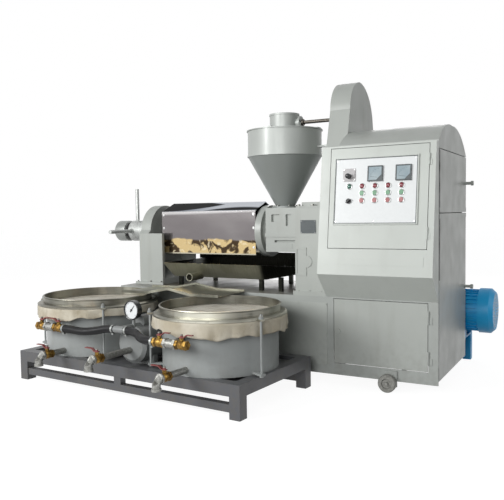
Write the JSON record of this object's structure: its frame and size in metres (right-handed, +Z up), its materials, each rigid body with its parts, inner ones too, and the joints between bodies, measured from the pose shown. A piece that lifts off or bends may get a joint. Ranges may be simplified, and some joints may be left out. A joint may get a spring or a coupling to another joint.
{
  "type": "screw oil press",
  "caption": "Combined screw oil press on wheels with a seed hopper, belt drive in a cabinet, sloping control panel and two vacuum filter drums on a low frame in front.",
  "frame": {"origin": "on the floor, under the middle of the whole machine", "axes": "+X along the screw towards the drive cabinet, +Y from the filter drums to the back, +Z up"},
  "size_m": [2.545, 1.9944, 1.717],
  "materials": {
    "body_paint": "satin",
    "box_paint": "satin",
    "station_paint": "satin",
    "drum_paint": "satin",
    "stainless": "brushed",
    "polished": "polished",
    "panel_white": "satin",
    "start_green": "gloss",
    "stop_red": "gloss",
    "knob_black": "gloss",
    "bare_steel": "satin",
    "cast_steel": "rough",
    "belt_rubber": "matt",
    "motor_blue": "satin",
    "cloth": "woven",
    "valve_brass": "satin",
    "lever_red": "gloss",
    "hose_rubber": "satin",
    "tank_paint": "satin",
    "wheel_iron": "rough"
  },
  "bodies": {
    "press": {"base_frame": "body_paint", "base_cover": "body_paint", "drive_cabinet": "body_paint", "roof_guard": "body_paint", "feeder_guard": "body_paint", "rear_guard": "body_paint", "electric_box": "box_paint", "gearbox_housing": "body_paint", "drive_belts": "belt_rubber", "motor": "motor_blue", "hopper": "stainless", "feeder_housing": "stainless", "feed_block": "body_paint", "press_cage": "bare_steel", "end_frame": "body_paint", "oil_pan": "stainless", "oil_divider": "stainless", "station_frame": "station_paint", "filter_drums": "drum_paint", "filter_pans": "stainless", "filter_cloth_left": "cloth", "filter_cloth_right": "cloth", "valve_bodies": "valve_brass", "vacuum_tank": "tank_paint", "hose_left": "hose_rubber", "hose_right": "hose_rubber"},
    "panel_door": {"electric_door": "box_paint", "control_plate": "panel_white"},
    "adjuster_hub": {"adjuster_hub": "body_paint"},
    "base_door": {"base_door": "body_paint"},
    "button_start_1": {"button_start_1": "start_green"},
    "button_start_2": {"button_start_2": "start_green"},
    "button_start_3": {"button_start_3": "start_green"},
    "button_start_4": {"button_start_4": "start_green"},
    "button_stop_1": {"button_stop_1": "stop_red"},
    "button_stop_2": {"button_stop_2": "stop_red"},
    "button_stop_3": {"button_stop_3": "stop_red"},
    "button_stop_4": {"button_stop_4": "stop_red"},
    "cage_hood": {"cage_hood": "polished"},
    "choke_sleeve": {"choke_sleeve": "bare_steel"},
    "feed_auger": {"feed_auger": "stainless"},
    "feeder_shaft": {"feeder_shaft": "cast_steel"},
    "gauge_needle": {"gauge_needle": "knob_black"},
    "gear_layshaft": {"gear_layshaft": "cast_steel"},
    "input_shaft": {"input_shaft": "cast_steel"},
    "lever_drain_left": {"lever_drain_left": "lever_red"},
    "lever_drain_right": {"lever_drain_right": "lever_red"},
    "lever_drain_tank": {"lever_drain_tank": "lever_red"},
    "lever_left_a": {"lever_left_a": "lever_red"},
    "lever_left_b": {"lever_left_b": "lever_red"},
    "lever_right_a": {"lever_right_a": "lever_red"},
    "lever_right_b": {"lever_right_b": "lever_red"},
    "motor_shaft": {"motor_shaft": "cast_steel"},
    "press_screw": {"press_screw": "bare_steel"},
    "selector_knob": {"selector_knob": "knob_black"},
    "side_door_lower": {"side_door_lower": "body_paint"},
    "side_door_upper": {"side_door_upper": "body_paint"},
    "switch_knob": {"switch_knob": "knob_black"},
    "wheels_left": {"wheels_left": "wheel_iron"},
    "wheels_right": {"wheels_right": "wheel_iron"}
  },
  "joints": [
    {"name": "drive_turn", "type": "hinge", "parent": "press", "child": "input_shaft", "pos_m": [0.66, 0.36, 0.845], "axis": [1, 0, 0], "continuous": true},
    {"name": "screw_turn", "type": "hinge", "parent": "press", "child": "press_screw", "pos_m": [0, 0.36, 0.845], "axis": [1, 0, 0], "continuous": true},
    {"name": "layshaft_turn", "type": "hinge", "parent": "press", "child": "gear_layshaft", "pos_m": [0.4, 0.46607, 0.73893], "axis": [1, 0, 0], "continuous": true},
    {"name": "motor_turn", "type": "hinge", "parent": "press", "child": "motor_shaft", "pos_m": [0.7, 0.8592, 0.336], "axis": [1, 0, 0], "continuous": true},
    {"name": "feeder_turn", "type": "hinge", "parent": "press", "child": "feeder_shaft", "pos_m": [0.3, 0.36, 1.516], "axis": [1, 0, 0], "continuous": true},
    {"name": "auger_turn", "type": "hinge", "parent": "press", "child": "feed_auger", "pos_m": [0.084, 0.36, 1.2], "axis": [0, 0, 1], "continuous": true},
    {"name": "wheels_left_turn", "type": "hinge", "parent": "press", "child": "wheels_left", "pos_m": [-0.73, 0.36, 0.048], "axis": [0, 1, 0], "continuous": true},
    {"name": "wheels_right_turn", "type": "hinge", "parent": "press", "child": "wheels_right", "pos_m": [0.86, 0.36, 0.048], "axis": [0, 1, 0], "continuous": true},
    {"name": "base_door_swing", "type": "hinge", "parent": "press", "child": "base_door", "pos_m": [1.0695, 0.005, 0.3], "axis": [0, 0, 1], "range_deg": [0, 110]},
    {"name": "upper_side_door_swing", "type": "hinge", "parent": "press", "child": "side_door_upper", "pos_m": [1.116, 0.021, 1.1], "axis": [0, 0, -1], "range_deg": [0, 95]},
    {"name": "lower_side_door_swing", "type": "hinge", "parent": "press", "child": "side_door_lower", "pos_m": [1.116, 0.021, 0.5], "axis": [0, 0, -1], "range_deg": [0, 95]},
    {"name": "panel_door_swing", "type": "hinge", "parent": "press", "child": "panel_door", "pos_m": [1.0875, -0.07384, 1.02436], "axis": [0, 0.1278, 0.9918], "range_deg": [0, 110]},
    {"name": "start_1_push", "type": "slide", "parent": "panel_door", "child": "button_start_1", "axis": [0, 0.9918, -0.1278], "range_m": [0, 0.004], "stiffness_N_per_m": 400, "springref_m": -0.002},
    {"name": "stop_1_push", "type": "slide", "parent": "panel_door", "child": "button_stop_1", "axis": [0, 0.9918, -0.1278], "range_m": [0, 0.004], "stiffness_N_per_m": 400, "springref_m": -0.002},
    {"name": "start_2_push", "type": "slide", "parent": "panel_door", "child": "button_start_2", "axis": [0, 0.9918, -0.1278], "range_m": [0, 0.004], "stiffness_N_per_m": 400, "springref_m": -0.002},
    {"name": "stop_2_push", "type": "slide", "parent": "panel_door", "child": "button_stop_2", "axis": [0, 0.9918, -0.1278], "range_m": [0, 0.004], "stiffness_N_per_m": 400, "springref_m": -0.002},
    {"name": "start_3_push", "type": "slide", "parent": "panel_door", "child": "button_start_3", "axis": [0, 0.9918, -0.1278], "range_m": [0, 0.004], "stiffness_N_per_m": 400, "springref_m": -0.002},
    {"name": "stop_3_push", "type": "slide", "parent": "panel_door", "child": "button_stop_3", "axis": [0, 0.9918, -0.1278], "range_m": [0, 0.004], "stiffness_N_per_m": 400, "springref_m": -0.002},
    {"name": "start_4_push", "type": "slide", "parent": "panel_door", "child": "button_start_4", "axis": [0, 0.9918, -0.1278], "range_m": [0, 0.004], "stiffness_N_per_m": 400, "springref_m": -0.002},
    {"name": "stop_4_push", "type": "slide", "parent": "panel_door", "child": "button_stop_4", "axis": [0, 0.9918, -0.1278], "range_m": [0, 0.004], "stiffness_N_per_m": 400, "springref_m": -0.002},
    {"name": "switch_turn", "type": "hinge", "parent": "panel_door", "child": "switch_knob", "pos_m": [0.6685, -0.07313, 1.14728], "axis": [0, 0.9918, -0.1278], "range_deg": [-45, 45]},
    {"name": "selector_turn", "type": "hinge", "parent": "panel_door", "child": "selector_knob", "pos_m": [0.67, -0.08491, 1.01671], "axis": [0, 0.9918, -0.1278], "range_deg": [0, 90]},
    {"name": "gauge_turn", "type": "hinge", "parent": "press", "child": "gauge_needle", "pos_m": [-0.33207, -0.661, 0.455], "axis": [0.0663, 0.9978, 0], "range_deg": [-80, 190], "stiffness_Nm_per_rad": 0.02},
    {"name": "adjuster_turn", "type": "hinge", "parent": "press", "child": "adjuster_hub", "pos_m": [-1.1, 0.36, 0.845], "axis": [1, 0, 0], "range_deg": [-300, 720]},
    {"name": "choke_move", "type": "slide", "parent": "press", "child": "choke_sleeve", "axis": [1, 0, 0], "range_m": [-0.0055, 0.0125]},
    {"name": "hood_lift", "type": "slide", "parent": "press", "child": "cage_hood", "axis": [0, 0, 1], "range_m": [0, 0.105]},
    {"name": "lever_left_a_turn", "type": "hinge", "parent": "press", "child": "lever_left_a", "pos_m": [-0.91455, -0.73957, 0.378], "axis": [0, 0, -1], "range_deg": [0, 90]},
    {"name": "lever_left_b_turn", "type": "hinge", "parent": "press", "child": "lever_left_b", "pos_m": [-0.77686, -0.74872, 0.378], "axis": [0, 0, 1], "range_deg": [0, 90]},
    {"name": "lever_right_a_turn", "type": "hinge", "parent": "press", "child": "lever_right_a", "pos_m": [-0.00481, -0.8491, 0.382], "axis": [0, 0, -1], "range_deg": [0, 90]},
    {"name": "lever_right_b_turn", "type": "hinge", "parent": "press", "child": "lever_right_b", "pos_m": [0.13288, -0.85825, 0.382], "axis": [0, 0, -1], "range_deg": [0, 90]},
    {"name": "lever_drain_left_turn", "type": "hinge", "parent": "press", "child": "lever_drain_left", "pos_m": [-0.81536, -0.80028, 0.236], "axis": [0, 0, 1], "range_deg": [0, 90]},
    {"name": "lever_drain_tank_turn", "type": "hinge", "parent": "press", "child": "lever_drain_tank", "pos_m": [-0.36361, -0.89442, 0.276], "axis": [0, 0, 1], "range_deg": [0, 90]},
    {"name": "lever_drain_right_turn", "type": "hinge", "parent": "press", "child": "lever_drain_right", "pos_m": [0.07197, -0.91534, 0.236], "axis": [0, 0, 1], "range_deg": [0, 90]}
  ],
  "couplings": [
    {"joint": "screw_turn", "follows": "drive_turn", "ratio": 0.0625},
    {"joint": "layshaft_turn", "follows": "drive_turn", "ratio": -0.25},
    {"joint": "motor_turn", "follows": "drive_turn", "ratio": 3.012},
    {"joint": "feeder_turn", "follows": "drive_turn", "ratio": 0.5},
    {"joint": "auger_turn", "follows": "drive_turn", "ratio": 0.5},
    {"joint": "choke_move", "follows": "adjuster_turn", "m_per_rad": 0.00095493}
  ]
}
